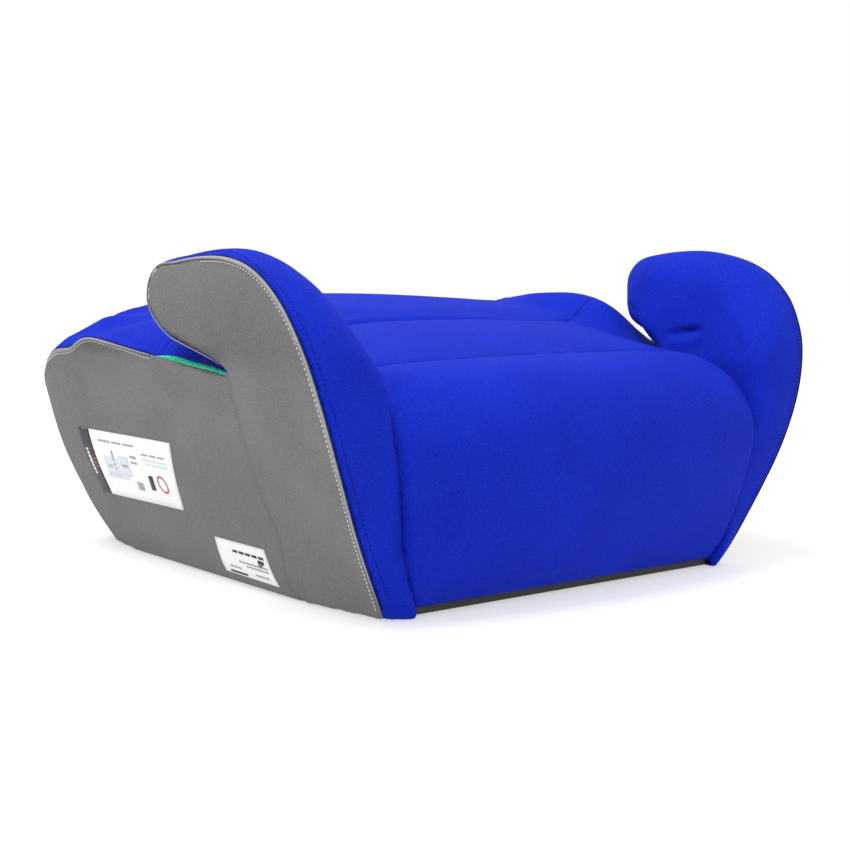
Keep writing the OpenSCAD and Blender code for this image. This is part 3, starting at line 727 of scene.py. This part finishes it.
moulding_black = solid("moulding_black", (0.006, 0.006, 0.007), (0.022, 0.022, 0.024), 0.5, 0.0012, 0.0002)
pad_rubber = solid("pad_rubber", (0.004, 0.004, 0.004), (0.015, 0.015, 0.015), 0.8, 0.0008, 0.0003)
screw_steel = solid("screw_steel", (0.42, 0.43, 0.45), (0.62, 0.63, 0.65), 0.28, 0.0006, 0.00005, 1.0)


# ---- pieces
CLOTH_FRAMES = 20
CLOTH_CAP = 3.0     # furthest that the cloth simulation may move a point
LABEL_AREA = ((-75, 152), (-4, 106))    # y and z spans kept flat for the labels
FAR_FROM_SEAM = 40.0    # distance to the nearest seam from which the cloth's colour stays the same
TURN_IN = 2.5       # depth of the seam allowances
NO_SEAM = 99        # a distance that never counts as near


def piece(name, verts, faces, materials, replaced=(), face_material=None, attributes=None):
    """A visible piece with its material, its share of the CAD's nodes and its distance to the seams."""
    obj = raw_mesh(name, np.asarray(verts, float), faces)
    for m in materials:
        obj.data.materials.append(m)
    if face_material is not None:
        obj.data.polygons.foreach_set("material_index", list(map(int, face_material)))
    seam = np.full(len(verts), FAR_FROM_SEAM) if attributes is None else attributes
    layer = obj.data.attributes.new("seam", "FLOAT", "POINT")
    layer.data.foreach_set("value", np.asarray(seam, np.float32))
    obj.data.polygons.foreach_set("use_smooth", [True] * len(obj.data.polygons))
    obj.data.update()
    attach(obj, "root")
    if replaced:
        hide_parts(*replaced)
    return obj


def blown_up(verts, quads, held):
    """How far each point of a coarse cover mesh moves when it is blown up as cloth."""
    obj = raw_mesh("cloth_copy", verts, quads)
    group = obj.vertex_groups.new(name="held")
    group.add(np.flatnonzero(held).tolist(), 1.0, "REPLACE")
    cloth = obj.modifiers.new("cloth", "CLOTH")
    cloth.settings.quality = 4
    cloth.settings.mass = 0.25
    cloth.settings.tension_stiffness = cloth.settings.compression_stiffness = 12
    cloth.settings.bending_stiffness = 0.6
    cloth.settings.use_pressure = True
    cloth.settings.uniform_pressure_force = 4
    cloth.settings.vertex_group_mass = "held"
    cloth.settings.effector_weights.gravity = 0
    cloth.collision_settings.use_collision = False
    scene = bpy.context.scene
    scene.frame_start, scene.frame_end = 1, CLOTH_FRAMES
    cloth.point_cache.frame_start, cloth.point_cache.frame_end = 1, CLOTH_FRAMES
    for frame_number in range(1, CLOTH_FRAMES + 1):
        scene.frame_set(frame_number)
    shown = obj.evaluated_get(bpy.context.evaluated_depsgraph_get())
    moved = np.empty(len(verts) * 3)
    shown.data.vertices.foreach_get("co", moved)
    scene.frame_set(1)
    bpy.data.objects.remove(obj, do_unlink=True)
    return moved.reshape(-1, 3) / MM - verts


def near_seam(c, p, reach):
    """1 on a seam, 0 further away than reach."""
    x, z = np.abs(p[:, 0]), p[:, 2]
    front = (p[:, 1] < FLANK_FRONT + SEAM_2 + 20) & (x < 165) & (z > 110)
    away = np.minimum(np.abs(c[:, 0]), np.abs(c[:, 2]))
    for k in (4, 5):
        away = np.minimum(away, np.where(front, np.abs(c[:, k]), NO_SEAM))
    away = np.minimum(away, np.maximum(z - 6, 0))
    return 1 - smooth(away / reach)


def add_padding(verts):
    """Let the coarse cloth's swelling carry the fine mesh outwards between its seams."""
    coarse, quads = cover_mesh(SIM_GRID)
    held = near_seam(seam_values(coarse), coarse, 7.0) > 0.3
    move = blown_up(coarse, quads, held)
    out = unit(gradient(seat_field, coarse, 1.0))
    swell = np.clip((move * out).sum(1), -CLOTH_CAP, CLOTH_CAP)
    tree = kdtree.KDTree(len(coarse))
    for i, p in enumerate(coarse):
        tree.insert(Vector(p), i)
    tree.balance()
    carried = np.zeros(len(verts))
    for i, p in enumerate(verts):
        found = tree.find_n(Vector(p), 5)
        weight = [1 / (d + 0.8) ** 2 for _, _, d in found]
        carried[i] = sum(w * swell[j] for w, (_, j, _) in zip(weight, found)) / sum(weight)
    return carried


verts, quads = cover_mesh(GRID)
columns = seam_values(verts)
swell = add_padding(verts)
flat_label = ((verts[:, 0] < -100) * ramp(verts[:, 1], LABEL_AREA[0][0] - 20, LABEL_AREA[0][0])
              * (1 - ramp(verts[:, 1], LABEL_AREA[0][1], LABEL_AREA[0][1] + 20))
              * (1 - ramp(verts[:, 2], LABEL_AREA[1][1], LABEL_AREA[1][1] + 15)))
grey_share = np.where(columns[:, 0] < 0, 0.35, 1)     # the grey panels lie flatter than the blue ones
swell = swell * (1 - flat_label) * grey_share * (1 - near_seam(columns, verts, 5.0))
cover = Cover(verts.copy(), quads)
over_tray = np.where(cover.v[cover.t, 1].max(1) < TRAY_LOW[1] + 8, TRAY_HIGH[0] - 12, TRAY_HIGH[0] + 1)
cover.label[(cover.v[cover.t, 2].max(1) < TRAY_HIGH[2] + 0.8)
            & (np.abs(cover.v[cover.t, 0]).max(1) < over_tray)] = "hidden"
cover.c = np.concatenate([cover.c, swell[:, None]], 1)
cover.divide("cover", "blue", "grey", "blue")
cover.divide("grey", "back", "back", "side")
cover.divide("blue", "gusset", "gusset", "seat")
cover.divide("seat", "lining", "seat", "lining")
cover.divide("seat", "first", "front", "seat")
cover.divide("seat", "second", "middle", "rear")
seam_lines = cover.lines(np.isin(cover.label, ("back", "side")), "blue")
out = unit(gradient(seat_field, cover.v))
seam_away = np.minimum(np.abs(cover.c[:, 0]), np.abs(cover.c[:, 2]))
flat_top = (np.abs(cover.v[:, 0]) < 168) & (cover.v[:, 2] > 105)
for k in (4, 5):
    seam_away = np.minimum(seam_away, np.where(flat_top, np.abs(cover.c[:, k]), NO_SEAM))
back_seam = np.where(cover.c[:, 0] < 1, np.abs(cover.c[:, 1]), NO_SEAM)
seam_away = np.minimum(seam_away, back_seam)
groove = (0.7 * np.exp(-(cover.c[:, 0] / 2.5) ** 2) + 0.5 * np.exp(-(cover.c[:, 2] / 2.5) ** 2)
          + 0.7 * np.exp(-(back_seam / 2.5) ** 2))
shown_v = cover.v + out * (cover.c[:, len(COLUMNS)] - groove)[:, None]


CLOTHS = {"knit_blue": knit_blue, "knit_grey": knit_grey, "lining_green": lining_green}


def panel(name, mask, slot, replaced):
    """A sewn panel: its part of the cover with the seam allowance turned in all round."""
    t = cover.t[mask]
    used, index = np.unique(t, return_inverse=True)
    t = index.reshape(-1, 3)
    v, normal = shown_v[used], out[used]
    n = len(v)
    e = border_edges(t, n)
    rim = np.unique(e)
    number = {r: n + i for i, r in enumerate(rim.tolist())}
    inner = v[rim] - normal[rim] * TURN_IN
    centre = np.zeros((n, 3))
    count = np.zeros(n)
    for a, b in ((0, 1), (1, 2), (2, 0), (1, 0), (2, 1), (0, 2)):
        np.add.at(centre, t[:, a], v[t[:, b]])
        np.add.at(count, t[:, a], 1)
    pull = unit(centre[rim] / count[rim][:, None] - v[rim]) * 0.5
    faces = t.tolist() + [(b, a, number[a], number[b]) for a, b in e.tolist()]
    seam = np.clip(seam_away[used], 0, FAR_FROM_SEAM)
    made = piece(name, np.concatenate([v, inner + pull]), faces, [CLOTHS[slot]], replaced,
                 attributes=np.concatenate([seam, np.zeros(len(rim))]))


side_of = cover.v[cover.t, 0].mean(1)
left, right = side_of < 0, side_of >= 0
for label, slot, replaced in (("front", "knit_blue", ("front_panel", "front_foam")),
                              ("middle", "knit_blue", ("middle_panel", "seat_foam")),
                              ("rear", "knit_blue", ("rear_panel",)),
                              ("back", "knit_grey", ("back_panel",))):
    panel("cover_" + label, cover.label == label, slot, replaced)
for word, here in (("left", left), ("right", right)):
    for label, start, slot, replaced in (
            ("gusset", "cover_gusset_", "knit_blue", ("gusset_" + word, "armrest_foam_" + word)),
            ("side", "cover_side_", "knit_grey", ("side_panel_" + word,)),
            ("lining", "belt_guide_", "lining_green", ("belt_lining_" + word,))):
        panel(start + word, (cover.label == label) & here, slot, replaced)


def loft_faces(n, m):
    """Faces between n rings of m points each."""
    return [(i * m + j, i * m + (j + 1) % m, (i + 1) * m + (j + 1) % m, (i + 1) * m + j)
            for i in range(n - 1) for j in range(m)]


def ribbon(line, profile, taper):
    """Loft of a profile, (left, out) pairs, along a line on the cover, thinned at both ends."""
    along, out, left = line_frame(line)
    n, m = len(line), len(profile)
    share = np.minimum(1, np.minimum(np.arange(n), np.arange(n)[::-1]) / taper + 0.15)[:, None]
    rings = []
    for side, up in profile:
        base = onto_cover(line + left * side * share, 2)
        rings.append(base + out * up * np.minimum(share + 0.2, 1))
    ends = [tuple(range(m))[::-1], tuple(range((n - 1) * m, n * m))]
    return np.stack(rings, 1).reshape(-1, 3), loft_faces(n, m) + ends


def join(parts):
    """Several (verts, faces, material number) as one."""
    verts, faces, numbers, base = [], [], [], 0
    for v, f, k in parts:
        verts.append(v)
        faces += [tuple(base + i for i in face) for face in f]
        numbers += [k] * len(f)
        base += len(v)
    return np.concatenate(verts), faces, numbers


def stitches(line, length, gap, radius):
    """Short sewn stitches half sunk into the cover, as one mesh."""
    line = even_line(line, (length + gap) / 4, 2)
    along, out, left = line_frame(line)
    ring, verts, faces = 6, [], []
    shape = [(-0.5, 0.35), (-0.36, 0.85), (0.0, 1.0), (0.36, 0.85), (0.5, 0.35)]     # along, thickness
    for i in range(2, len(line) - 2, 4):
        base = len(verts)
        for s, r in shape:
            for k in range(ring):
                a = 2 * math.pi * k / ring
                verts.append(line[i] + along[i] * s * length + left[i] * math.cos(a) * r * radius * 1.2
                             + out[i] * (math.sin(a) * r * radius + 0.25 * radius))
        for s in range(len(shape) - 1):
            for k in range(ring):
                a, b = base + s * ring + k, base + s * ring + (k + 1) % ring
                faces.append((a, b, b + ring, a + ring))
        faces += [tuple(base + k for k in range(ring))[::-1],
                  tuple(base + (len(shape) - 1) * ring + k for k in range(ring))]
    return np.array(verts), faces


# ---- trims and stitches
def round_profile(points, left, out, wide, tall):
    """Oval profile for a ribbon, (left, out) pairs."""
    return [(left + wide * math.cos(a), out + tall * math.sin(a))
            for a in np.linspace(0, 2 * math.pi, points + 1)[:-1]]


def mirrored(profile, side):
    """The profile as it is for side 1, left and right exchanged for side -1."""
    return [(left * side, out) for left, out in profile]


BAND = [(-0.2, -0.9), (0.0, 0.3), (0.6, 0.6), (2.3, 0.6), (2.9, 0.3), (3.1, -0.9)]    # grey sewn strip
SHADOW_CORD = round_profile(8, -0.5, 0, 0.6, 0.55)     # dark cord in the seam beside it, a painted shadow standing in for the shade line between the grey band and the blue
PIPING = round_profile(6, 0, 0.15, 0.5, 0.5)    # thin edge round the hook's tip
STITCH, STITCH_GAP, THREAD = 1.9, 1.2, 0.33     # length, gap and radius of the stitches
WHITE_ROW, BLUE_ROW = 3.9, -7.5     # offsets of the two topstitched rows from the seam
LINE_STEP = 2.0     # spacing of the points along the seam; the numbers of points below count these
TIP_DROP = 13       # the band ends on the hook where its edge has dropped this far below the crest
HOOK_LOW = 172      # the hook's tip lies above this height, the seam behind it below
BAND_TAPER, SHADOW_CORD_TAPER, PIPING_TAPER = 60, 12, 10
SHADOW_CORD_SHORT, STITCH_SHORT, PIPING_EARLY = 25, 30, 25
SHORTEST = 20

main_line = even_line(seam_lines[0], LINE_STEP)
for word, sign in (("left", -1), ("right", 1)):
    mine = (main_line[:, 0] * sign > 0.5)
    line = main_line[mine]
    grey = 1    # the grey panel lies to the left of the border as it was traced
    if line[0, 2] > line[-1, 2]:
        line, grey = line[::-1], -1
    behind = line[:, 1] - FLANK_FRONT
    on_hook = (line[:, 2] > HOOK_LOW) & (np.arange(len(line)) <= len(line) * 0.72)
    nose = int(np.argmax(np.where(on_hook, behind, -1000)))
    low = int(np.argmax(line[:, 2] > 6))
    crest = int(np.argmax(line[:, 2]))
    tip = crest + int(np.argmax(line[crest:, 2] < CREST - TIP_DROP))
    horn, rest = line[low:tip], line[nose:]
    wall = rest[(behind[nose:] > LINING_TO - 8) & (rest[:, 2] < HOOK_LOW)]
    parts = []
    for run in (horn, wall):
        if len(run) < SHORTEST:
            continue
        parts.append((*ribbon(run, mirrored(BAND, grey), BAND_TAPER), 0))
        shadow_cord_run = run[:-SHADOW_CORD_SHORT] if run is horn else run
        parts.append((*ribbon(shadow_cord_run, mirrored(SHADOW_CORD, grey), SHADOW_CORD_TAPER), 1))
        row = beside(run, WHITE_ROW * grey)
        parts.append((*stitches(row[:-STITCH_SHORT] if run is horn else row, STITCH, STITCH_GAP, THREAD), 2))
    hook_end = nose + int(np.argmax(behind[nose:] < SLOT_AT + 6))
    parts.append((*ribbon(line[tip - PIPING_EARLY:hook_end], mirrored(PIPING, grey), PIPING_TAPER), 0))
    inner = beside(horn, BLUE_ROW * grey)
    parts.append((*stitches(inner[4:-10], STITCH, STITCH_GAP, THREAD), 3))
    v, f, numbers = join(parts)
    piece("seam_trim_" + word, v, f, [trim_grey, seam_shadow_cord, thread_white, thread_blue],
          ("edge_trim_" + word,), numbers)

# ---- gathered elastic hem round the tray
HEM_LOW, HEM_HIGH = 2.4, 9.0
HEM_CORNER = 36.0   # radius of the tray's rear corners


def hem_path(step):
    """Points and outward directions round the tray's sides and rear."""
    r = HEM_CORNER
    x, y0, y1 = TRAY_HIGH[0], TRAY_LOW[1] + 22, TRAY_HIGH[1]
    pts = [(-x, y) for y in np.arange(y0, y1 - r, step)]
    pts += [(-x + r - r * math.cos(a), y1 - r + r * math.sin(a)) for a in np.linspace(0, math.pi / 2, 24)]
    pts += [(v, y1) for v in np.arange(-x + r + step, x - r, step)]
    pts += [(x - r + r * math.sin(a), y1 - r + r * math.cos(a)) for a in np.linspace(0, math.pi / 2, 24)]
    pts += [(x, y) for y in np.arange(y1 - r - step, y0, -step)]
    p = np.array(pts)
    d = unit(np.gradient(p, axis=0))
    return p, np.stack([-d[:, 1], d[:, 0]], 1)


path, outwards = hem_path(1.2)
wave = np.arange(len(path))
ruffle = 0.35 * np.sin(wave * 1.25) + 0.2 * np.sin(wave * 0.43 + 1)
rings = []
for side, z in ((0.5, HEM_LOW), (0.4, HEM_HIGH), (1.7, HEM_HIGH), (2.1, (HEM_LOW + HEM_HIGH) / 2),
                (1.7, HEM_LOW)):
    away = side + ruffle * (side > 1)       # only the outer side is gathered
    rings.append(np.concatenate([path + outwards * away[:, None], np.full((len(path), 1), z)], 1))
hem_v = np.stack(rings, 1).reshape(-1, 3)
hem_f = loft_faces(len(path), len(rings))
piece("elastic_hem", hem_v, hem_f, [elastic_black], ("hem_band",))


# ---- labels
def on_flank(y, z, lift):
    """Points on the left flank at that depth and height, lifted off its surface."""
    low, high = flank_x(z) - 30.0, flank_x(z) + 16.0
    for _ in range(22):
        mid = (low + high) / 2
        inside = seat_field(np.stack([-mid, y, z], -1))[0] < 0
        low, high = np.where(inside, mid, low), np.where(inside, high, mid)
    p = np.stack([-(low + high) / 2, y, z], -1)
    return p + unit(gradient(seat_field, p)) * np.asarray(lift)[..., None]


def label_patch(corners, u0, v0, u1, v1, lift, cell=5.0):
    """Thin patch of a label: corners are its four (y, z), u runs forward and v up, both 0 to 1."""
    c = np.array(corners, float)
    wide, tall = np.linalg.norm(c[1] - c[0]) * (u1 - u0), np.linalg.norm(c[3] - c[0]) * (v1 - v0)
    nu, nv = max(int(wide / cell), 1) + 1, max(int(tall / cell), 1) + 1
    u, v = np.meshgrid(np.linspace(u0, u1, nu), np.linspace(v0, v1, nv), indexing="ij")
    u, v = u.ravel()[:, None], v.ravel()[:, None]
    yz = (c[0] * (1 - u) + c[1] * u) * (1 - v) + (c[3] * (1 - u) + c[2] * u) * v
    top = on_flank(yz[:, 0], yz[:, 1], np.full(len(yz), lift))
    low = on_flank(yz[:, 0], yz[:, 1], np.full(len(yz), LABEL_BACK))
    faces = []
    for i in range(nu - 1):
        for j in range(nv - 1):
            a = i * nv + j
            faces.append((a, a + 1, a + nv + 1, a + nv))
    rim = ([(i * nv) for i in range(nu)] + [(nu - 1) * nv + j for j in range(1, nv)]
           + [i * nv + nv - 1 for i in range(nu - 2, -1, -1)] + [j for j in range(nv - 2, 0, -1)])
    k = len(top)
    for a, b in zip(rim, rim[1:] + rim[:1]):
        faces.append((a, b, b + k, a + k))
    return np.concatenate([top, low]), faces


def disc_patch(corners, cu, cv, r_in, r_out, lift):
    """Flat ring printed on a label, radii in millimetres."""
    c = np.array(corners, float)
    centre = (c[0] * (1 - cu) + c[1] * cu) * (1 - cv) + (c[3] * (1 - cu) + c[2] * cu) * cv
    a = np.linspace(0, 2 * math.pi, 25)[:-1]
    circle = np.stack([np.cos(a), np.sin(a)], 1)
    yz = np.concatenate([centre + circle * r_in, centre + circle * r_out])
    top = on_flank(yz[:, 0], yz[:, 1], np.full(len(yz), lift))
    k = len(a)
    return top, [(i, (i + 1) % k, k + (i + 1) % k, k + i) for i in range(k)]


# corners as (y, z): front bottom, rear bottom, rear top, front top
LARGE_CORNERS = [(28, 46), (144, 46), (144, 96), (10, 96)]
SMALL_CORNERS = [(-81, 3.5), (-15, 4.5), (-9, 32), (-71, 32)]
SHEET, PRINT = 0.8, 0.98    # heights of the labels' surface and of the print above the cover
LABEL_BACK = -0.2           # the labels' edges reach this far below it
# generic print, each as u0, v0, u1, v1 and its ink's place in INKS; u runs from the front edge to the rear
large_print = [(0.88, 0.0, 1.0, 1.0, 1), (0.885, 0.42, 0.93, 0.60, 4), (0.95, 0.30, 0.975, 0.70, 0)]
large_print += [(0.66, 0.84, 0.80, 0.87, 2), (0.54, 0.84, 0.64, 0.87, 2), (0.40, 0.84, 0.52, 0.87, 2)]
large_print += [(0.55, 0.30, 0.80, 0.34, 3), (0.62, 0.34, 0.78, 0.62, 3), (0.50, 0.36, 0.60, 0.66, 3)]
large_print += [(0.66, 0.40, 0.68, 0.72, 2), (0.70, 0.46, 0.76, 0.50, 2), (0.52, 0.50, 0.58, 0.54, 2)]
large_print += [(0.40, 0.66, 0.47, 0.70, 2), (0.40, 0.58, 0.47, 0.61, 2), (0.40, 0.18, 0.47, 0.30, 2)]
large_print += [(0.08 + 0.09 * i, 0.74, 0.15 + 0.09 * i, 0.765, 2) for i in range(3)]
large_print += [(0.06, 0.66, 0.34, 0.685, 3), (0.06, 0.60, 0.30, 0.625, 3), (0.26, 0.22, 0.31, 0.44, 1)]
small_print = [(0.06 + 0.13 * i, 0.74, 0.16 + 0.13 * i, 0.80, 1) for i in range(5)]
small_print += [(0.05, 0.52, 0.60, 0.56, 2), (0.05, 0.44, 0.48, 0.48, 2), (0.55, 0.20, 0.88, 0.25, 1)]
small_print += [(0.08, 0.62, 0.20, 0.70, 1), (0.10, 0.28, 0.36, 0.32, 2), (0.62, 0.34, 0.84, 0.38, 2)]
for name, node, corners, prints, ring in (
        ("label_large_sewn", "label_large", LARGE_CORNERS, large_print, (0.16, 0.34, 5.0, 6.6)),
        ("label_small_sewn", "label_small", SMALL_CORNERS, small_print, (0.16, 0.62, 0.9, 2.6))):
    parts = [(*label_patch(corners, 0, 0, 1, 1, SHEET), 0)]
    parts += [(*label_patch(corners, u0, v0, u1, v1, PRINT, 3.0), ink) for u0, v0, u1, v1, ink in prints]
    parts.append((*disc_patch(corners, *ring, PRINT), 4 if node == "label_large" else 1))
    v, f, numbers = join(parts)
    piece(name, v, f, INKS, (node,), numbers)

# ---- hard parts
for node, material in (("seat_shell", moulding_black), ("base_tray", moulding_black),
                       ("armrest_core_left", moulding_black), ("armrest_core_right", moulding_black),
                       ("armrest_screws", screw_steel), ("tray_screws", screw_steel),
                       ("rubber_pads", pad_rubber)):
    mesh = bpy.data.objects[node].data
    mesh.materials.clear()
    mesh.materials.append(material)

# ---- camera, floor and light
LENS, SENSOR = 66.06, 36
CAMERA_AT = (-0.7034, -0.9265, 0.2195)      # solved from the photograph, in metres
CAMERA_DOWN, CAMERA_TURN = 6.04, -37.76     # degrees below the horizon and round from straight ahead
FLOOR_HALF = 6000
FLOOR_GREY, FLOOR_GLOW = 0.5, 0.52          # together they make the floor the photograph's white
LIGHT_AIM = (0, 0, 0.1)

cam_data = bpy.data.cameras.new("camera")
cam_data.lens, cam_data.sensor_width = LENS, SENSOR
cam = bpy.data.objects.new("camera", cam_data)
cam.location = CAMERA_AT
cam.rotation_euler = (math.radians(90 - CAMERA_DOWN), 0, math.radians(CAMERA_TURN))
bpy.context.scene.collection.objects.link(cam)
bpy.context.scene.camera = cam

floor_corners = np.array([(-1, -1, 0), (1, -1, 0), (1, 1, 0), (-1, 1, 0)], float) * FLOOR_HALF
floor = raw_mesh("floor", floor_corners, [(0, 1, 2, 3)])
paper = Nodes("paper")
paper.shader.inputs["Base Color"].default_value = (FLOOR_GREY, FLOOR_GREY, FLOOR_GREY, 1)
paper.shader.inputs["Roughness"].default_value = 0.9
paper.shader.inputs["Emission Color"].default_value = (1, 1, 1, 1)
paper.shader.inputs["Emission Strength"].default_value = FLOOR_GLOW
floor.data.materials.append(paper.material)
world = bpy.data.worlds.new("studio")
bpy.context.scene.world = world
world.use_nodes = True
world.node_tree.nodes["Background"].inputs["Color"].default_value = (1, 1, 1, 1)
world.node_tree.nodes["Background"].inputs["Strength"].default_value = 1.0


def area_light(name, place, power, size):
    data = bpy.data.lights.new(name, "AREA")
    data.energy, data.size = power, size
    light = bpy.data.objects.new(name, data)
    light.location = place
    light.rotation_euler = (Vector(LIGHT_AIM) - Vector(place)).to_track_quat("-Z", "Y").to_euler()
    bpy.context.scene.collection.objects.link(light)


area_light("key", (-0.6, 0.15, 2.3), power=44, size=1.2)
area_light("fill", (-1.6, -1.6, 1.2), power=5, size=1.6)
bpy.context.scene.view_settings.view_transform = "Standard"
